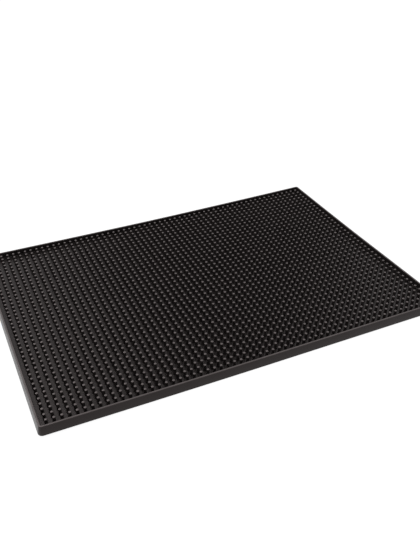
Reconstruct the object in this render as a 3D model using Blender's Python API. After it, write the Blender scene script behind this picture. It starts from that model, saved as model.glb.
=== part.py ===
"""Rubber bar mat: a shallow tray of soft black rubber, filled with a square grid of short nubs.

The real mat is one moulding. It is held here as its regions: the base sheet, the rim as four rails
and four corners, and the nubs as one closed bar for each row.

Metres, +Z up. +X runs along the long side and +Y from the front to the back.
The origin is on the underside, below the middle of the mat.
"""

import math

import bmesh
import bpy
from mathutils import Matrix, Vector

# The nub grid sets the size of the mat.
COLUMNS = 61  # nubs along the long side
ROWS = 41  # nubs along the short side
NUB_PITCH = 0.0072  # between the centres of two nubs, both ways
EDGE_TO_NUB = 0.0098  # from the foot of the rim to the centres of the outermost nubs
NUB_WIDTH = 0.0032  # across a nub at half its height
NUB_TOP = 0.0098  # the tips stand just below the rim

HEIGHT = 0.010  # of the rim, above whatever the mat lies on
SHEET_THICKNESS = 0.0025
RIM_LIP = 0.0018  # across the top of the rim
RIM_SLOPE = 0.0018  # how far the rim's outer side leans in from its foot to its top
CORNER_RADIUS = 0.0048  # round the foot of the rim, seen from above
RIM_ROUNDING = 0.0006  # of the rim's two top edges

GAP = 0.0003  # kept between regions that are one piece of rubber on the real mat
ARC_STEPS = 8  # flats in a quarter turn of the outline
ROUNDING_STEPS = 3  # flats in a quarter turn of the rim's top edge

RIM_FOOT = RIM_LIP + RIM_SLOPE
LENGTH = (COLUMNS - 1) * NUB_PITCH + 2 * EDGE_TO_NUB
WIDTH = (ROWS - 1) * NUB_PITCH + 2 * EDGE_TO_NUB
BLACK_RUBBER = (0.022, 0.019, 0.018, 1.0)


def clear_scene():
    for obj in list(bpy.data.objects):
        bpy.data.objects.remove(obj, do_unlink=True)


def rubber(name, roughness):
    """A Principled material of black rubber with its own roughness."""
    material = bpy.data.materials.new(name)
    material.use_nodes = True
    shader = material.node_tree.nodes["Principled BSDF"]
    shader.inputs["Base Color"].default_value = BLACK_RUBBER
    shader.inputs["Roughness"].default_value = roughness
    shader.inputs["Metallic"].default_value = 0.0
    return material


def mesh_of(bm, name, material):
    """The finished bmesh as mesh data that carries its material."""
    bmesh.ops.recalc_face_normals(bm, faces=bm.faces)
    mesh = bpy.data.meshes.new(name)
    bm.to_mesh(mesh)
    bm.free()
    mesh.materials.append(material)
    mesh.shade_smooth()
    mesh.set_sharp_from_angle(angle=math.radians(40))
    return mesh


def place(collection, name, mesh, location=(0, 0, 0), turn=0.0):
    """One node: an object that stands at a location, turned about +Z."""
    obj = bpy.data.objects.new(name, mesh)
    obj.location = location
    obj.rotation_euler.z = turn
    collection.objects.link(obj)
    return obj


def plate(size, radius, steps):
    """A block of this size standing on z = 0, with its four upright edges rounded."""
    bm = bmesh.new()
    middle = Matrix.Translation((0, 0, size[2] / 2))
    bmesh.ops.create_cube(bm, size=1, matrix=middle @ Matrix.Diagonal((*size, 1)))
    upright = [e for e in bm.edges if abs(e.verts[0].co.z - e.verts[1].co.z) > size[2] / 2]
    bmesh.ops.bevel(bm, geom=upright, offset=radius, segments=steps, profile=0.5, affect="EDGES")
    return bm


def rim_section(bm):
    """The rim cut across, as one face in the XZ plane: its foot runs from x = -RIM_FOOT out to x = 0."""
    points = [Vector((-RIM_FOOT, 0, 0)), Vector((0, 0, 0))]
    for centre_x, first in ((-RIM_SLOPE - RIM_ROUNDING, 0.0), (RIM_ROUNDING - RIM_FOOT, math.pi / 2)):
        for step in range(ROUNDING_STEPS + 1):
            angle = first + step * math.pi / 2 / ROUNDING_STEPS
            x = centre_x + RIM_ROUNDING * math.cos(angle)
            z = HEIGHT - RIM_ROUNDING + RIM_ROUNDING * math.sin(angle)
            points.append(Vector((x, 0, z)))
    return bm.faces.new([bm.verts.new(point) for point in points])


def rail(length):
    """A straight stretch of the rim along +Y, centred on the origin, the edge of its foot at x = 0."""
    bm = bmesh.new()
    section = rim_section(bm)
    bmesh.ops.translate(bm, verts=section.verts, vec=(0, -length / 2, 0))
    grown = bmesh.ops.extrude_face_region(bm, geom=[section])["geom"]
    moved = [v for v in grown if isinstance(v, bmesh.types.BMVert)]
    bmesh.ops.translate(bm, verts=moved, vec=(0, length, 0))
    return bm


def corner():
    """A quarter turn of the rim about the origin, from +X round to +Y."""
    bm = bmesh.new()
    section = rim_section(bm)
    bmesh.ops.translate(bm, verts=section.verts, vec=(CORNER_RADIUS, 0, 0))
    around = [section, *section.edges, *section.verts]
    bmesh.ops.spin(bm, geom=around, cent=(0, 0, 0), axis=(0, 0, 1), angle=math.pi / 2, steps=ARC_STEPS)
    return bm


def build_sheet(collection):
    """The flat floor of the tray, inside the rim."""
    inset = RIM_FOOT + GAP
    size = (LENGTH - 2 * inset, WIDTH - 2 * inset, SHEET_THICKNESS)
    bm = plate(size, CORNER_RADIUS - inset, ARC_STEPS)
    place(collection, "base_sheet", mesh_of(bm, "base_sheet", rubber("sheet_rubber", 0.6)))


def build_rim(collection):
    """Four rails and four corners, which leave a gap where each rail meets a corner."""
    material = rubber("rim_rubber", 0.5)
    side_run = WIDTH - 2 * (CORNER_RADIUS + GAP)
    long_run = LENGTH - 2 * (CORNER_RADIUS + GAP)
    side = mesh_of(rail(side_run), "rim_side", material)
    front_or_back = mesh_of(rail(long_run), "rim_long", material)
    bend = mesh_of(corner(), "rim_corner", material)

    place(collection, "rim_right", side, (LENGTH / 2, 0, 0))
    place(collection, "rim_back", front_or_back, (0, WIDTH / 2, 0), math.pi / 2)
    place(collection, "rim_left", side, (-LENGTH / 2, 0, 0), math.pi)
    place(collection, "rim_front", front_or_back, (0, -WIDTH / 2, 0), -math.pi / 2)

    centre = Vector((LENGTH / 2 - CORNER_RADIUS, WIDTH / 2 - CORNER_RADIUS, 0))
    corners = ("back_right", 1, 1), ("back_left", -1, 1), ("front_left", -1, -1), ("front_right", 1, -1)
    for quarter, (where, sign_x, sign_y) in enumerate(corners):
        location = (sign_x * centre.x, sign_y * centre.y, 0)
        place(collection, f"rim_corner_{where}", bend, location, quarter * math.pi / 2)


def build_nub_rows(collection):
    """Each row of nubs as one bar of their width and height, round at both ends, front row first."""
    foot = SHEET_THICKNESS + GAP
    size = ((COLUMNS - 1) * NUB_PITCH + NUB_WIDTH, NUB_WIDTH, NUB_TOP - foot)
    bar = mesh_of(plate(size, 0.48 * NUB_WIDTH, 4), "nub_row", rubber("nub_rubber", 0.45))
    for row in range(ROWS):
        y = (row - (ROWS - 1) / 2) * NUB_PITCH
        place(collection, f"nub_row_{row + 1:02d}", bar, (0, y, foot))


clear_scene()
bar_mat = bpy.data.collections.new("bar_mat")
bpy.context.scene.collection.children.link(bar_mat)
build_sheet(bar_mat)
build_rim(bar_mat)
build_nub_rows(bar_mat)
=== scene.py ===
"""A one-piece rubber bar mat on a pale studio floor.

The mat is a shallow tray: a flat sheet inside a low rim, filled with a square grid of short nubs.
Every size that the CAD model holds is read from its boxes; the rest is named beside the piece that uses it.
Metres, +Z up, +X along the long side, +Y towards the back.
"""

import math

import bmesh
import bpy
from mathutils import Euler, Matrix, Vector


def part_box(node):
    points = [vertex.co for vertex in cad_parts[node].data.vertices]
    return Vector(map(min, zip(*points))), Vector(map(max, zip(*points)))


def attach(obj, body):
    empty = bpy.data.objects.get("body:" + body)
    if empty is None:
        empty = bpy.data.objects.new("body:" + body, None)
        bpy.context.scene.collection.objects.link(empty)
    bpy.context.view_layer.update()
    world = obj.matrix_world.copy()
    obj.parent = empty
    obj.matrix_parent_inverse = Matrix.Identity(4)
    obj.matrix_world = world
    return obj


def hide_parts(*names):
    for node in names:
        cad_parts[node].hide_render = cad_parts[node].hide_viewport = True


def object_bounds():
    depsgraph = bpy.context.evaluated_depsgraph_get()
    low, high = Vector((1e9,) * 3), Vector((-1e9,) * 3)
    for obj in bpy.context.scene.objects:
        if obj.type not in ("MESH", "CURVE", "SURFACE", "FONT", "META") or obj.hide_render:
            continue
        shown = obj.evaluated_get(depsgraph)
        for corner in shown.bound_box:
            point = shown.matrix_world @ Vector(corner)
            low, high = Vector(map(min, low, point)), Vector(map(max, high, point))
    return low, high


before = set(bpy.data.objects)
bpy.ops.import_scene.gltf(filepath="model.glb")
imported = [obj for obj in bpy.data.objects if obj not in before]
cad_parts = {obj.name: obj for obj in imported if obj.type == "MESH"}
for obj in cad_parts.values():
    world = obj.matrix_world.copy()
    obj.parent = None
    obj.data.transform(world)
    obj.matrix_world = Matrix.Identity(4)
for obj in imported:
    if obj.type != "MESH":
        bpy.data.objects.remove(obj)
cad_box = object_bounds()
mat_low, mat_high = cad_box

# ---------------------------------------------------------------------------------------------------
# Camera: close in front of the mat's left end, looking down and to the right, so that its back left and
# front right corners are out of view.
# ---------------------------------------------------------------------------------------------------
camera = bpy.data.objects.new("camera", bpy.data.cameras.new("camera"))
LENS_MM, SENSOR_MM = 41.87, 36
SIDE_SHIFT = 0.0352  # as a share of the sensor
CAMERA_PLACE = (-0.25842, -0.56649, 0.43772)
TILT, ROLL, PAN = 55.36, 0.65, -23.93  # degrees: up from straight down, sideways, and round to the right
camera.data.sensor_width = SENSOR_MM
camera.data.lens = LENS_MM
camera.data.shift_x = SIDE_SHIFT
camera.location = CAMERA_PLACE
camera.rotation_euler = Euler((math.radians(TILT), math.radians(ROLL), math.radians(PAN)))
bpy.context.scene.collection.objects.link(camera)
bpy.context.scene.camera = camera

# ---------------------------------------------------------------------------------------------------
# Base sheet: the flat floor of the tray, 2.5 mm of solid black rubber. It is moulded in one with the rim
# and ends where the rim's inner fillet begins. Being limp, it has curled up a little at three corners.
# ---------------------------------------------------------------------------------------------------
SHEET_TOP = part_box("base_sheet")[1].z
RIM_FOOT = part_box("rim_left")[1].x - mat_low.x
CORNER_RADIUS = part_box("rim_corner_back_left")[1].x - mat_low.x
INNER_FILLET = 0.0007  # where the rim's inner wall meets the sheet
CORNER_STEPS = 14  # flats in a quarter turn of the outline
LEFT_LIFT, RIGHT_LIFT = (0.0018, 0.0018), (0, 0.0020)  # how far the front and back corners have curled up
CURL_POWER = 1.5  # how the curl steepens towards a corner
BENDS = 14  # cuts each way from the middle, where the rubber can bend
CREASE = math.radians(50)  # a sharper edge than this stays crisp

DEEP_BLACK = (0.0045, 0.0037, 0.0036, 1)
SOFT_BLACK = (0.0110, 0.0092, 0.0088, 1)
# the grey of rubbed edges and tips: partly real wear, partly a painted highlight on the tops
WEAR_AND_HIGHLIGHT_GREY = (0.0690, 0.0595, 0.0585, 1)
SHEEN = (1, 0.86, 0.85, 1)  # the warm cast of the rubber's own gloss
GLOSS = 0.25  # a weak gloss, half that of a plain plastic
CLOUDS, PATCHES, GRAIN = 70, 150, 2600  # noise scales, from broad clouds down to the eggshell grain
CLOUD_SHARE = 0.6  # of the tone; the grain has the rest
PATCHINESS = 0.8  # how unevenly the grey of wear and painted highlight lies on an edge
GRAIN_DEPTH, GRAIN_STRENGTH = 0.0001, 0.25
SATIN, TIP_SATIN = 0.32, 0.30  # roughness of the rubber, and of the nubs
SHEEN_DRIFT = 0.12  # how much the roughness wanders with the clouds


class Wire:
    """An output of a shader node. Arithmetic on it adds Math nodes, and node() adds any other node."""

    def __init__(self, tree, socket=None):
        self.tree = tree
        self.socket = socket

    def node(self, kind, settings, inputs, output=0):
        made = self.tree.nodes.new(kind)
        for name, value in settings.items():
            setattr(made, name, value)
        for name, value in inputs.items():
            if isinstance(value, Wire):
                self.tree.links.new(value.socket, made.inputs[name])
            else:
                made.inputs[name].default_value = value
        return Wire(self.tree, made.outputs[output])

    def math(self, operation, first, second=0.0, clamp=False):
        settings = {"operation": operation, "use_clamp": clamp}
        return self.node("ShaderNodeMath", settings, {0: first, 1: second})

    def clamped(self):
        """The value held between 0 and 1."""
        return self.math("ADD", self, 0.0, clamp=True)

    def mixed(self, amount, first, second):
        """The first colour turning into the second as the amount goes from 0 to 1."""
        share, colour_a, colour_b, result = 0, 6, 7, 2  # where a Mix node keeps its colour sockets
        inputs = {share: amount, colour_a: first, colour_b: second}
        return self.node("ShaderNodeMix", {"data_type": "RGBA"}, inputs, result)

    def __add__(self, other):
        return self.math("ADD", self, other)

    def __mul__(self, other):
        return self.math("MULTIPLY", self, other)

    def __sub__(self, other):
        return self.math("SUBTRACT", self, other)

    def __rsub__(self, other):
        return self.math("SUBTRACT", other, self)

    __radd__ = __add__
    __rmul__ = __mul__


def black_rubber(name, roughness, wear_and_highlight_from=None, wear_and_highlight_at=None, wear_and_highlight_share=1.0):
    """Moulded black rubber: a cloudy tone, a fine eggshell grain and a sheen that wanders a little.

    From the first height given up to the second it turns to a chalky grey: partly the wear of rubbed
    edges and tips, partly a painted highlight on their tops.
    """
    material = bpy.data.materials.new(name)
    material.use_nodes = True
    tree = material.node_tree
    shader = tree.nodes["Principled BSDF"]
    place = Wire(tree).node("ShaderNodeTexCoord", {}, {}, "Object")
    height = place.node("ShaderNodeAttribute", {"attribute_name": "height"}, {}, "Fac")
    clouds = place.node("ShaderNodeTexNoise", {}, {"Vector": place, "Scale": CLOUDS, "Detail": 4})
    grain = place.node("ShaderNodeTexNoise", {}, {"Vector": place, "Scale": GRAIN, "Detail": 2})
    colour = place.mixed(clouds * CLOUD_SHARE + grain * (1 - CLOUD_SHARE), DEEP_BLACK, SOFT_BLACK)
    # Painted highlight, partly real wear: the tops of the lip and nub tips turn a lighter grey.
    if wear_and_highlight_from is not None:
        rise = ((height - wear_and_highlight_from) * (1 / (wear_and_highlight_at - wear_and_highlight_from))).clamped()
        patchy = place.node("ShaderNodeTexNoise", {}, {"Vector": place, "Scale": PATCHES, "Detail": 3})
        patchy = 1 - PATCHINESS / 2 + patchy * PATCHINESS
        colour = place.mixed(rise * patchy * wear_and_highlight_share, colour, WEAR_AND_HIGHLIGHT_GREY)
    bump = place.node(
        "ShaderNodeBump", {}, {"Height": grain, "Strength": GRAIN_STRENGTH, "Distance": GRAIN_DEPTH}
    )
    wandering = clouds * SHEEN_DRIFT + (roughness - SHEEN_DRIFT / 2)
    tree.links.new(colour.socket, shader.inputs["Base Color"])
    tree.links.new(wandering.socket, shader.inputs["Roughness"])
    tree.links.new(bump.socket, shader.inputs["Normal"])
    shader.inputs["Specular IOR Level"].default_value = GLOSS
    shader.inputs["Specular Tint"].default_value = SHEEN
    return material


def outline(inset, z):
    """The outline of the rim's foot, moved inwards by an inset and up to height z: points one way round."""
    points = []
    radius = CORNER_RADIUS - inset
    centre = Vector((mat_high.x - CORNER_RADIUS, mat_high.y - CORNER_RADIUS))
    for quarter, (sign_x, sign_y) in enumerate(((1, 1), (-1, 1), (-1, -1), (1, -1))):
        for step in range(CORNER_STEPS + 1):
            angle = (quarter + step / CORNER_STEPS) * math.pi / 2
            x = sign_x * centre.x + radius * math.cos(angle)
            y = sign_y * centre.y + radius * math.sin(angle)
            points.append(Vector((x, y, z)))
    return points


def bridge(bm, first, second):
    """Quads between two closed rings of vertices."""
    for this, after in zip(range(len(first)), [*range(1, len(first)), 0]):
        bm.faces.new((first[this], first[after], second[after], second[this]))


def crosscut(bm):
    """Cuts the bmesh across, both ways, so that it can bend."""
    for way, reach in enumerate(mat_high.xy):
        for step in range(-BENDS, BENDS + 1):
            spot, across = Vector((0, 0, 0)), Vector((0, 0, 0))
            spot[way], across[way] = reach * step / (BENDS + 1), 1
            everything = [*bm.verts, *bm.edges, *bm.faces]
            bmesh.ops.bisect_plane(bm, geom=everything, plane_co=spot, plane_no=across)


def curl(mesh):
    """Keeps every point's own height as an attribute for the rubber, then lifts the corners."""
    height = mesh.attributes.new("height", "FLOAT", "POINT")
    for vert, kept in zip(mesh.vertices, height.data):
        kept.value = vert.co.z
        outwards = abs(vert.co.x) / mat_high.x + abs(vert.co.y) / mat_high.y - 1
        corner_lift = (LEFT_LIFT, RIGHT_LIFT)[vert.co.x > 0][vert.co.y > 0]
        vert.co.z += corner_lift * max(0, outwards) ** CURL_POWER


def finished(bm, name, material):
    """The bmesh as an object at the origin, smooth but for its sharp edges, facing outwards."""
    bmesh.ops.recalc_face_normals(bm, faces=bm.faces)
    mesh = bpy.data.meshes.new(name)
    bm.to_mesh(mesh)
    bm.free()
    mesh.materials.append(material)
    mesh.shade_smooth()
    mesh.set_sharp_from_angle(angle=CREASE)
    piece = bpy.data.objects.new(name, mesh)
    bpy.context.scene.collection.objects.link(piece)
    return piece


sheet_bm = bmesh.new()
sheet_rings = [
    [sheet_bm.verts.new(point) for point in outline(RIM_FOOT + INNER_FILLET, z)] for z in (0, SHEET_TOP)
]
bridge(sheet_bm, *sheet_rings)
sheet_bm.faces.new(sheet_rings[1])
sheet_bm.faces.new(sheet_rings[0][::-1])
crosscut(sheet_bm)
sheet = finished(sheet_bm, "sheet", black_rubber("sheet_rubber", SATIN))
curl(sheet.data)
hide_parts("base_sheet")
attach(sheet, "root")

# ---------------------------------------------------------------------------------------------------
# Rim: the tray's wall, 10 mm high, one ring round the sheet. Its outer side leans in from the foot to the
# lip so that the mat leaves its mould. The lip's edges are rounded, its top greyed partly by rubbing and
# partly by a painted highlight, and a fillet joins the inner side to the sheet.
# ---------------------------------------------------------------------------------------------------
RIM_TOP = mat_high.z
RIM_SLOPE = 0.0018  # how far the outer side leans in from its foot to its top
LIP_ROUNDING = 0.0006
LIP_WEAR_AND_HIGHLIGHT = 0.8  # how far the lip turns grey, partly wear and partly painted highlight, against the nub tips
FOOT_ROUNDING = 0.0004
FOOT_STEPS, LIP_STEPS, FILLET_STEPS = 3, 5, 4  # flats in each rounding
LEAN_IN = math.atan(RIM_SLOPE / RIM_TOP)


def arc(centre, radius, start, end, steps):
    """Points round an arc in a cross-section, as (distance inwards, height), angles in degrees."""
    angles = [math.radians(start + (end - start) * step / steps) for step in range(steps + 1)]
    return [(centre[0] + radius * math.cos(a), centre[1] + radius * math.sin(a)) for a in angles]


def outer_arc(radius, height, start, end, steps):
    """A rounding that touches the leaning outer side, its centre at this height."""
    inwards = radius / math.cos(LEAN_IN) + height * math.tan(LEAN_IN)
    return arc((inwards, height), radius, start, end, steps)


outer_side = 180 - math.degrees(LEAN_IN)
rim_section = [
    *outer_arc(FOOT_ROUNDING, FOOT_ROUNDING, 270, outer_side, FOOT_STEPS),
    *outer_arc(LIP_ROUNDING, RIM_TOP - LIP_ROUNDING, outer_side, 90, LIP_STEPS),
    *arc((RIM_FOOT - LIP_ROUNDING, RIM_TOP - LIP_ROUNDING), LIP_ROUNDING, 90, 0, LIP_STEPS),
    *arc((RIM_FOOT + INNER_FILLET, SHEET_TOP + INNER_FILLET), INNER_FILLET, 180, 270, FILLET_STEPS),
    (RIM_FOOT + INNER_FILLET, 0),
]
rim_bm = bmesh.new()
rim_rings = [[rim_bm.verts.new(point) for point in outline(inset, z)] for inset, z in rim_section]
for ring, next_ring in zip(rim_rings, [*rim_rings[1:], rim_rings[0]]):
    bridge(rim_bm, ring, next_ring)
# The lip's top greys partly with wear and partly as a painted highlight.
rim_rubber = black_rubber("rim_rubber", SATIN, RIM_TOP - LIP_ROUNDING, RIM_TOP, LIP_WEAR_AND_HIGHLIGHT)
crosscut(rim_bm)
rim = finished(rim_bm, "rim", rim_rubber)
curl(rim.data)
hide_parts(*[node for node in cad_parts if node.startswith("rim_")])
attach(rim, "root")

# ---------------------------------------------------------------------------------------------------
# Nubs: short round pegs of the same rubber on a square grid, 61 by 41. Each stands on a small flare,
# narrows a little for the mould's draft, and ends in a flat tip just below the rim's top, greyed partly
# by rubbing and partly by a painted highlight.
# ---------------------------------------------------------------------------------------------------
nub_nodes = sorted(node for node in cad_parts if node.startswith("nub_row_"))
row_boxes = [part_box(node) for node in nub_nodes]
row_lines = [(low.y + high.y) / 2 for low, high in row_boxes]
NUB_PITCH = row_lines[1] - row_lines[0]
NUB_WIDTH = row_boxes[0][1].y - row_boxes[0][0].y
NUB_TOP = row_boxes[0][1].z
COLUMNS = 1 + round((row_boxes[0][1].x - row_boxes[0][0].x - NUB_WIDTH) / NUB_PITCH)
DRAFT_AT_FOOT, DRAFT_AT_TIP = 1.05, 0.90  # against the nub's middle width
FOOT_RADIUS = NUB_WIDTH / 2 * DRAFT_AT_FOOT
TIP_RADIUS = NUB_WIDTH / 2 * DRAFT_AT_TIP
FLARE = 0.0003  # where the nub spreads into the sheet
SUNK = 0.0001  # how far its base dips into the sheet
TIP_ROUNDING = 0.0004
TIP_CROWN = 0.0001  # how far the middle of the tip stands above its edge
NUB_SIDES, TIP_STEPS = 10, 2
LEAN = math.radians(1.2)  # the most that a nub leans, either way

nub_section = [
    (FOOT_RADIUS + FLARE, SHEET_TOP - SUNK),
    (FOOT_RADIUS, SHEET_TOP + FLARE),
    *arc((TIP_RADIUS - TIP_ROUNDING, NUB_TOP - TIP_CROWN - TIP_ROUNDING), TIP_ROUNDING, 0, 90, TIP_STEPS),
]
turns = [2 * math.pi * side / NUB_SIDES for side in range(NUB_SIDES)]
nub_bm = bmesh.new()
nub_rings = [
    [nub_bm.verts.new((radius * math.cos(turn), radius * math.sin(turn), height)) for turn in turns]
    for radius, height in nub_section
]
for ring, next_ring in zip(nub_rings, nub_rings[1:]):
    bridge(nub_bm, ring, next_ring)
tip = nub_bm.verts.new((0, 0, NUB_TOP))
for corner, next_corner in zip(nub_rings[-1], [*nub_rings[-1][1:], nub_rings[-1][0]]):
    nub_bm.faces.new((corner, next_corner, tip))
nub_bm.faces.new(nub_rings[0][::-1])
# The nub tips grey partly with wear and partly as a painted highlight on their tops.
nub_rubber = black_rubber("nub_rubber", TIP_SATIN, NUB_TOP - TIP_ROUNDING, NUB_TOP - TIP_CROWN)
nub = finished(nub_bm, "nub", nub_rubber)


def nub_row_tree():
    """The tree that stands one row of nubs on the sheet, each with its own slight lean."""
    tree = bpy.data.node_groups.new("nub_row", "GeometryNodeTree")
    sockets = {}
    wanted = (
        ("Nub", "NodeSocketObject"),
        ("Columns", "NodeSocketInt"),
        ("Pitch", "NodeSocketFloat"),
        ("First Nub", "NodeSocketVector"),
        ("Lean", "NodeSocketFloat"),
        ("Seed", "NodeSocketInt"),
        ("Rubber", "NodeSocketMaterial"),
    )
    for name, kind in wanted:
        sockets[name] = tree.interface.new_socket(name, in_out="INPUT", socket_type=kind).identifier
    tree.interface.new_socket("Geometry", in_out="OUTPUT", socket_type="NodeSocketGeometry")
    given = tree.nodes.new("NodeGroupInput").outputs

    def node(kind, settings, inputs):
        made = tree.nodes.new(kind)
        for name, value in settings.items():
            setattr(made, name, value)
        for name, value in inputs.items():
            if isinstance(value, bpy.types.NodeSocket):
                tree.links.new(value, made.inputs[name])
            else:
                made.inputs[name].default_value = value
        return made.outputs

    step = node("ShaderNodeCombineXYZ", {}, {"X": given["Pitch"]})
    places = node(
        "GeometryNodeMeshLine", {},
        {"Count": given["Columns"], "Start Location": given["First Nub"], "Offset": step[0]},
    )
    one = node("GeometryNodeObjectInfo", {}, {"Object": given["Nub"]})
    least = node("ShaderNodeMath", {"operation": "MULTIPLY"}, {0: given["Lean"], 1: -1.0})
    low = node("ShaderNodeCombineXYZ", {}, {"X": least[0], "Y": least[0]})
    high = node("ShaderNodeCombineXYZ", {}, {"X": given["Lean"], "Y": given["Lean"]})
    lean = node(
        "FunctionNodeRandomValue", {"data_type": "FLOAT_VECTOR"},
        {0: low[0], 1: high[0], "Seed": given["Seed"]},
    )
    stood = node(
        "GeometryNodeInstanceOnPoints", {},
        {"Points": places["Mesh"], "Instance": one["Geometry"], "Rotation": lean[0]},
    )
    solid = node("GeometryNodeRealizeInstances", {}, {"Geometry": stood[0]})
    coated = node("GeometryNodeSetMaterial", {}, {"Geometry": solid[0], "Material": given["Rubber"]})
    out = tree.nodes.new("NodeGroupOutput")
    tree.links.new(coated[0], out.inputs["Geometry"])
    return tree, sockets


row_tree, row_socket = nub_row_tree()
for row, (cad_node, y) in enumerate(zip(nub_nodes, row_lines)):
    blank = bpy.data.objects.new("blank_row", bpy.data.meshes.new("blank_row"))
    bpy.context.scene.collection.objects.link(blank)
    spread = blank.modifiers.new("nub_row", "NODES")
    spread.node_group = row_tree
    spread[row_socket["Nub"]] = nub
    spread[row_socket["Columns"]] = COLUMNS
    spread[row_socket["Pitch"]] = NUB_PITCH
    spread[row_socket["First Nub"]] = (-(COLUMNS - 1) / 2 * NUB_PITCH, y, 0)
    spread[row_socket["Lean"]] = LEAN
    spread[row_socket["Seed"]] = row
    spread[row_socket["Rubber"]] = nub_rubber
    drawn = blank.evaluated_get(bpy.context.evaluated_depsgraph_get())
    nubs = bpy.data.objects.new(f"nubs_{row + 1:02d}", bpy.data.meshes.new_from_object(drawn))
    bpy.data.objects.remove(blank)
    curl(nubs.data)
    bpy.context.scene.collection.objects.link(nubs)
    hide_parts(cad_node)
    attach(nubs, "root")
bpy.data.objects.remove(nub)

# ---------------------------------------------------------------------------------------------------
# Studio: a white room and a white floor that glows, so that it stays white up to the mat's foot. A key
# light stands behind the left side, a fainter one over the right, and low fills stand at both sides.
# ---------------------------------------------------------------------------------------------------
WHITE = (1, 1, 1, 1)
FLOOR_TINT = (0.1, 0.1, 0.1, 1)  # dark under its glow, so that no shadow shows on it
FLOOR_GLOW = 0.93
FLOOR_HALF, FLOOR_DROP = 6, 0.0003  # metres each way, and clear below the mat's underside
FLOOR_ROUGHNESS, FLOOR_GLOSS = 0.9, 0.1
bpy.context.scene.view_settings.view_transform = "Standard"
world = bpy.data.worlds.new("studio")
bpy.context.scene.world = world
world.use_nodes = True
world.node_tree.nodes["Background"].inputs["Color"].default_value = WHITE
world.node_tree.nodes["Background"].inputs["Strength"].default_value = 1.0

floor_bm = bmesh.new()
bmesh.ops.create_grid(floor_bm, x_segments=1, y_segments=1, size=FLOOR_HALF)
bmesh.ops.translate(floor_bm, verts=floor_bm.verts, vec=(0, 0, -FLOOR_DROP))
floor_white = bpy.data.materials.new("floor_white")
floor_white.use_nodes = True
floor_shader = floor_white.node_tree.nodes["Principled BSDF"]
floor_shader.inputs["Base Color"].default_value = FLOOR_TINT
floor_shader.inputs["Emission Color"].default_value = WHITE
floor_shader.inputs["Emission Strength"].default_value = FLOOR_GLOW
floor_shader.inputs["Roughness"].default_value = FLOOR_ROUGHNESS
floor_shader.inputs["Specular IOR Level"].default_value = FLOOR_GLOSS
floor = finished(floor_bm, "floor", floor_white)


def soft_box(name, size, azimuth, elevation, distance, watts):
    """A square area light aimed at the mat: azimuth from +X towards +Y and elevation, in degrees."""
    light = bpy.data.lights.new(name, "AREA")
    light.size = size
    light.energy = watts
    box = bpy.data.objects.new(name, light)
    flat = distance * math.cos(math.radians(elevation))
    around = math.radians(azimuth)
    height = distance * math.sin(math.radians(elevation))
    box.location = (flat * math.cos(around), flat * math.sin(around), height)
    box.rotation_euler = (-box.location).to_track_quat("-Z", "Y").to_euler()
    bpy.context.scene.collection.objects.link(box)


soft_box("behind_left", size=0.42, azimuth=138, elevation=55, distance=1.0, watts=5.2)
soft_box("right", size=1.2, azimuth=0, elevation=55, distance=3.0, watts=8)
soft_box("low_left", size=0.9, azimuth=180, elevation=15, distance=1.2, watts=1.2)
soft_box("low_right", size=2.2, azimuth=0, elevation=15, distance=3.0, watts=24)
